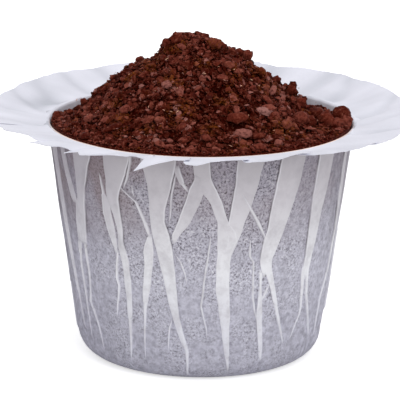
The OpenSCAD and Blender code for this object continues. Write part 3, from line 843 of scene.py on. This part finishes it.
def heap_core(material, heap):
    """The mass under the loose grains, filling the cup, tinted near black as painted shade in the
    gaps between the grains.
    """
    floor_z = PAPER_T + 0.01
    ring = [j * 360 / CORE_STEPS for j in range(CORE_STEPS)]
    rows = [[on_ring(CORNER_C - 0.1, a, floor_z) for a in ring]]
    for z in (1.2, 2.4, CORNER_TOP, 12.0, 24.0, CUP_H - 2.6):
        rows.append([on_ring(wall_r(z) - PAPER_T - 0.16, a, z) for a in ring])
    for i in range(CORE_RINGS):
        row = []
        for a in ring:
            r = (fill_r(a) - 0.02) * (1 - i / CORE_RINGS)
            x, y, _ = on_ring(r, a, 0)
            rough = 0.3 * noise.noise(Vector((x / 0.9, y / 0.9, 4)))
            rough += 0.16 * noise.noise(Vector((x / 0.4, y / 0.4, 9)))
            bed = heap.at(x, y)[0] - lerp(0.3, 0.7, min(1.0, i / 4))
            row.append((x, y, bed + rough * min(1.0, i / 3)))
        rows.append(row)
    verts = [p for row in rows for p in row]
    foot, peak = len(verts), len(verts) + 1
    verts += [(0, 0, floor_z), (0, 0, heap.at(0, 0)[0] - 0.75)]
    faces = []
    top = (len(rows) - 1) * CORE_STEPS
    for j in range(CORE_STEPS):
        m = (j + 1) % CORE_STEPS
        faces += [(foot, m, j), (peak, top + j, top + m)]
        for i in range(len(rows) - 1):
            a, b = i * CORE_STEPS, (i + 1) * CORE_STEPS
            faces.append((a + j, a + m, b + m, b + j))
    # Painted shade: near black, so that the gaps between the grains look deep, and lighter out at the paper.
    tint = [lerp(0.3, 0.05, smooth((22.2 - math.hypot(v[0], v[1])) / 1.2))
            + 0.14 * noise.noise(Vector(v) / 0.7) for v in verts]
    return new_object("heap_core", verts, faces, material, {"tint": tint})


def tumble(rng, tip):
    """A random turn about Z after a slight tip."""
    return Matrix.Rotation(rng.uniform(0, math.tau), 3, "Z") @ Matrix.Rotation(rng.gauss(0, tip), 3, "X")


def lie_on(normal):
    """The turn that takes Z to a normal."""
    return Vector((0, 0, 1)).rotation_difference(normal).to_matrix()


def grain_shape(rng, points, rough, flatness):
    """One grain of about unit size: the hull of some points, its faces divided and roughened."""
    bm = bmesh.new()
    for _ in range(points):
        p = Vector((rng.gauss(0, 1), rng.gauss(0, 1), rng.gauss(0, 1))).normalized()
        bm.verts.new(p * rng.uniform(0.8, 1.1))
    hull = bmesh.ops.convex_hull(bm, input=bm.verts)
    bmesh.ops.delete(bm, geom=[g for g in hull["geom_interior"] if isinstance(g, bmesh.types.BMVert)])
    if rough:
        bmesh.ops.subdivide_edges(bm, edges=bm.edges, cuts=1, use_grid_fill=True)
        seed = Vector((rng.uniform(0, 90), 0, 0))
        for v in bm.verts:
            n = v.co.normalized()
            v.co *= 1 + rough * (noise.noise(n * 1.6 + seed) + 0.8 * noise.noise(n * 4.5 + seed))
    bmesh.ops.scale(bm, vec=(1, rng.uniform(0.72, 1), rng.uniform(*flatness)), verts=bm.verts)
    bmesh.ops.triangulate(bm, faces=bm.faces)
    bm.verts.index_update()
    shape = (np.array([v.co[:] for v in bm.verts]), np.array([[v.index for v in f.verts] for f in bm.faces]))
    bm.free()
    return shape


class Grains:
    """Many grains joined into one piece."""

    def __init__(self, seed, points, rough=0.0, kinds=14, flatness=(0.5, 0.85)):
        self.rng = random.Random(seed)
        self.shapes = [grain_shape(self.rng, points, rough, flatness) for _ in range(kinds)]
        self.verts, self.faces, self.tint, self.gold, self.count = [], [], [], [], 0

    def add(self, centre, axes, tint, gilt=0.0):
        """axes: a 3 by 3 matrix whose columns are the grain's half sizes along its own axes."""
        v, f = self.shapes[self.rng.randrange(len(self.shapes))]
        v = v @ np.array(axes).T + np.array(centre[:])
        # What would pass through the paper at the mouth moves inwards.
        low = v[v[:, 2] < CUP_H + 0.15]
        if len(low) and math.hypot(centre[0], centre[1]) > 17:
            room = BASE_R + (MOUTH_R - BASE_R) * np.minimum(low[:, 2] / CUP_H, 1) - PAPER_T - 0.08
            over = float((np.hypot(low[:, 0], low[:, 1]) - room).max())
            v[:, :2] *= 1 - max(0.0, over) / math.hypot(centre[0], centre[1])
        self.verts.append(v)
        self.faces.append(f + self.count)
        self.count += len(v)
        p = Vector(centre)
        gold = smooth((noise.noise(p / 3.1 + Vector((7, 3, 1))) + 0.45 * noise.noise(p / 0.9) - 0.22) / 0.3)
        self.tint += [tint] * len(v)
        self.gold += [max(0.7 * gold, gilt) if tint < 0.8 else 0.0] * len(v)

    def strew(self, heap, count, size, tint, sink):
        """Strews grains evenly over the heap. size, tint and sink are functions of the random source."""
        rng = self.rng
        while count > 0:
            x, y = rng.uniform(-22.2, 22.2), rng.uniform(-22.2, 22.2)
            s = size(rng) / 2
            if math.hypot(x, y) > fill_r(angle_of(x, y)) - s * 0.75:
                continue
            z, normal = heap.at(x, y)
            # A steep slope has more surface for each square millimetre seen from above.
            if rng.random() > 0.62 / max(normal.z, 0.5):
                continue
            if rng.random() < 0.7 * heap.dent(x, y):
                continue
            count -= 1
            turn = lie_on(normal) @ tumble(rng, 0.6)
            place = Vector((x, y, z)) + normal * (s * rng.uniform(-0.1, 0.3) - sink(rng))
            patch = 0.3 * noise.noise(place / 1.7) + 0.14 * noise.noise(place / 5)
            # Grains in the hollows are tinted darker: painted shade.
            lit = tint(rng) + patch - 0.6 * min(1.0, heap.dent(x, y))
            self.add(place, turn * s, min(0.86, lit), heap.gilt(place))

    def line_mouth(self, heap, count):
        """Lays grains in the corner where the heap meets the paper."""
        rng = self.rng
        for _ in range(count):
            a, s = rng.uniform(0, 360), rng.uniform(0.2, 0.42)
            x, y, _ = on_ring(fill_r(a) + 0.06 - s * rng.uniform(0.8, 2.2), a, 0)
            turn = tumble(rng, 0.6)
            place = Vector((x, y, heap.at(x, y)[0] - rng.uniform(0.1, 0.45)))
            self.add(place, turn * s, rng.uniform(0.2, 0.75))

    def piece(self, name, material, smooth_shaded=False):
        """The object made of all the grains."""
        return new_object(name, np.concatenate(self.verts), np.concatenate(self.faces).tolist(), material,
                          {"tint": self.tint, "gold": self.gold}, wound=True, smooth_shaded=smooth_shaded)


def evenly(low, high):
    """Draws evenly between two limits."""
    return lambda rng: rng.uniform(low, high)


def around(mean, sd, low=0.0, high=0.84):
    """Draws around a mean, held between two limits."""
    return lambda rng: min(high, max(low, rng.gauss(mean, sd)))


def loose_grains(material, heap):
    """The grains strewn by chance, from fine to coarse."""
    pieces = []
    for k in range(2):
        dust = Grains(31 + k, 9)
        dust.strew(heap, 6200, evenly(0.35, 0.7), around(0.29, 0.22), evenly(0.0, 0.6))
        pieces.append(dust.piece(f"fine_grains_{k}", material))
    shards = Grains(41, 11, kinds=30, flatness=(0.25, 0.7))
    shards.strew(heap, 3000, evenly(0.6, 1.2), around(0.44, 0.23), evenly(-0.1, 0.35))
    shards.strew(heap, 700, evenly(1.2, 1.9), around(0.48, 0.2), evenly(0.0, 0.45))
    shards.line_mouth(heap, 900)
    pieces.append(shards.piece("shards", material))
    lumps = Grains(51, 15, rough=0.3, kinds=24)
    lumps.strew(heap, 1300, around(1.2, 0.32, 0.8, 2.1), around(0.46, 0.2), evenly(0.15, 0.6))
    pieces.append(lumps.piece("lumps", material))
    return pieces


def placed_clods(material, heap):
    clods = Grains(61, 130, rough=0.26, kinds=9, flatness=(0.8, 0.95))
    for px, py, wide, tint in CLODS:
        point, normal = heap.seen_at(px, py)
        turn = tumble(clods.rng, 0.3)
        clods.add(point + normal * (0.06 * wide), turn * (wide / 2), tint)
    return clods.piece("clods", material, True)


def placed_chips(material, heap):
    chips = Grains(71, 60, rough=0.2, kinds=9, flatness=(0.8, 1.0))
    for px, py, wide, length, thick, tint in CHIPS:
        point, normal = heap.seen_at(px, py)
        # They lean a little towards the front.
        lie = lie_on((normal + Vector((0, -0.25, 0))).normalized())
        lie = lie @ Matrix.Rotation(chips.rng.gauss(0, 0.15), 3, "Z")
        half = Matrix.Diagonal(Vector((wide / 2, length / 2, thick / 2)))
        chips.add(point + normal * 0.4, lie @ half, tint)
    return chips.piece("chips", material, True)


def strewn_chaff(material, heap):
    chaff = Grains(81, 8)
    rng = chaff.rng
    strewn = [(rng.uniform(60, 345), rng.uniform(45, 150)) for _ in range(60)]
    for px, py in CHAFF + strewn:
        try:
            point, normal = heap.seen_at(px, py)
        except ValueError:
            continue
        lie = lie_on(normal) @ Matrix.Rotation(rng.uniform(0, 3.1), 3, "Z")
        half = Matrix.Diagonal(Vector((rng.uniform(0.16, 0.4), 0.1, 0.07)))
        chaff.add(point + normal * 0.45, lie @ half, rng.uniform(0.9, 1.0))
    return chaff.piece("chaff", material)


def coffee(material, solid):
    """All the pieces of the charge, round the solid heap."""
    heap = Heap(solid)
    return [heap_core(material, heap), *loose_grains(material, heap), placed_clods(material, heap),
            placed_chips(material, heap), strewn_chaff(material, heap)]


# Stage, light and camera


def stage():
    """A white floor that keeps the object's shadow."""
    material = bpy.data.materials.new("floor_surface")
    s = Shader(material)
    s.dress({"Base Color": (0.86, 0.86, 0.86, 1), "Roughness": 1.0, "Specular IOR Level": 0.0,
             "Emission Color": (1, 1, 1, 1), "Emission Strength": s.math("MULTIPLY", s.seen(), FLOOR_GLOW)})
    mesh = bpy.data.meshes.new("floor")
    corners = [(x * FLOOR_HALF, y * FLOOR_HALF, 0) for x, y in ((-1, -1), (1, -1), (1, 1), (-1, 1))]
    mesh.from_pydata(corners, [], [(0, 1, 2, 3)])
    mesh.materials.append(material)
    floor = link("floor", mesh)


def studio():
    """A world that lights the object softly and looks white to the camera and in reflections."""
    world = bpy.data.worlds.new("studio")
    s = Shader(world, "Background")
    s.dress({"Color": (1, 1, 1, 1), "Strength": s.spread(s.seen(), 0.0, 1.0, WORLD_LIGHT, 1.0)})
    bpy.context.scene.world = world


def area_light(name, place, size, power):
    """A square softbox that faces the heap."""
    light = bpy.data.lights.new(name, "AREA")
    light.size, light.energy = size, power
    obj = link(name, light)
    obj.location = place
    obj.rotation_euler = (Vector(LIGHT_AIM) - Vector(place)).to_track_quat("-Z", "Y").to_euler()


def camera_pose():
    """Where the photograph was taken from, as a matrix."""
    e = math.radians(CAMERA_ELEVATION)
    place = Vector((0, -math.cos(e) * CAMERA_DISTANCE, CUP_H + math.sin(e) * CAMERA_DISTANCE)) * MM
    look = Vector(CAMERA_AIM) * MM - place
    return (Matrix.Translation(place) @ look.to_track_quat("-Z", "Y").to_matrix().to_4x4()
            @ Matrix.Rotation(math.radians(CAMERA_ROLL), 4, "Z"))


def sight(px, py):
    """The line of sight through a pixel of the photograph: its start, in millimetres, and direction."""
    pose = camera_pose()
    half = FRAME_PIXELS / 2
    way = pose.to_3x3() @ Vector(((px - half) / FOCAL_PIXELS, (half - py) / FOCAL_PIXELS, -1))
    return pose.to_translation() / MM, way.normalized()


def camera():
    """The camera with the photograph's framing."""
    cam = bpy.data.cameras.new("camera")
    cam.sensor_width = SENSOR_MM
    cam.lens = FOCAL_PIXELS / FRAME_PIXELS * SENSOR_MM
    cam.clip_start = 0.01
    obj = link("camera", cam)
    obj.matrix_world = camera_pose()
    bpy.context.scene.camera = obj


# The scene

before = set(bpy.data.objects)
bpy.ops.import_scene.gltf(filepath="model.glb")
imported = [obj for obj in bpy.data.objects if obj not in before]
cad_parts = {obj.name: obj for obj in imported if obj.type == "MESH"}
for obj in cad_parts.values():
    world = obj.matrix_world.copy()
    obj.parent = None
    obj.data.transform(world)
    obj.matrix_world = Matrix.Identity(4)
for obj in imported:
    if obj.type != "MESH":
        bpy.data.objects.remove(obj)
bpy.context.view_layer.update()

camera()
stage()
studio()
area_light("key", (0.3, -0.85, 0.85), 0.7, 3.9)
area_light("top", (0.05, 0.1, 1.1), 0.8, 2.9)
bpy.context.scene.view_settings.view_transform = "Standard"

paper = filter_paper()
for piece in (cup_wall(paper), pleats(paper), brim(paper)):
    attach(piece, "root")
    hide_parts("paper_filter")

for piece in coffee(ground_coffee(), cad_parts["coffee_grounds"].data):
    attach(piece, "root")
    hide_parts("coffee_grounds")
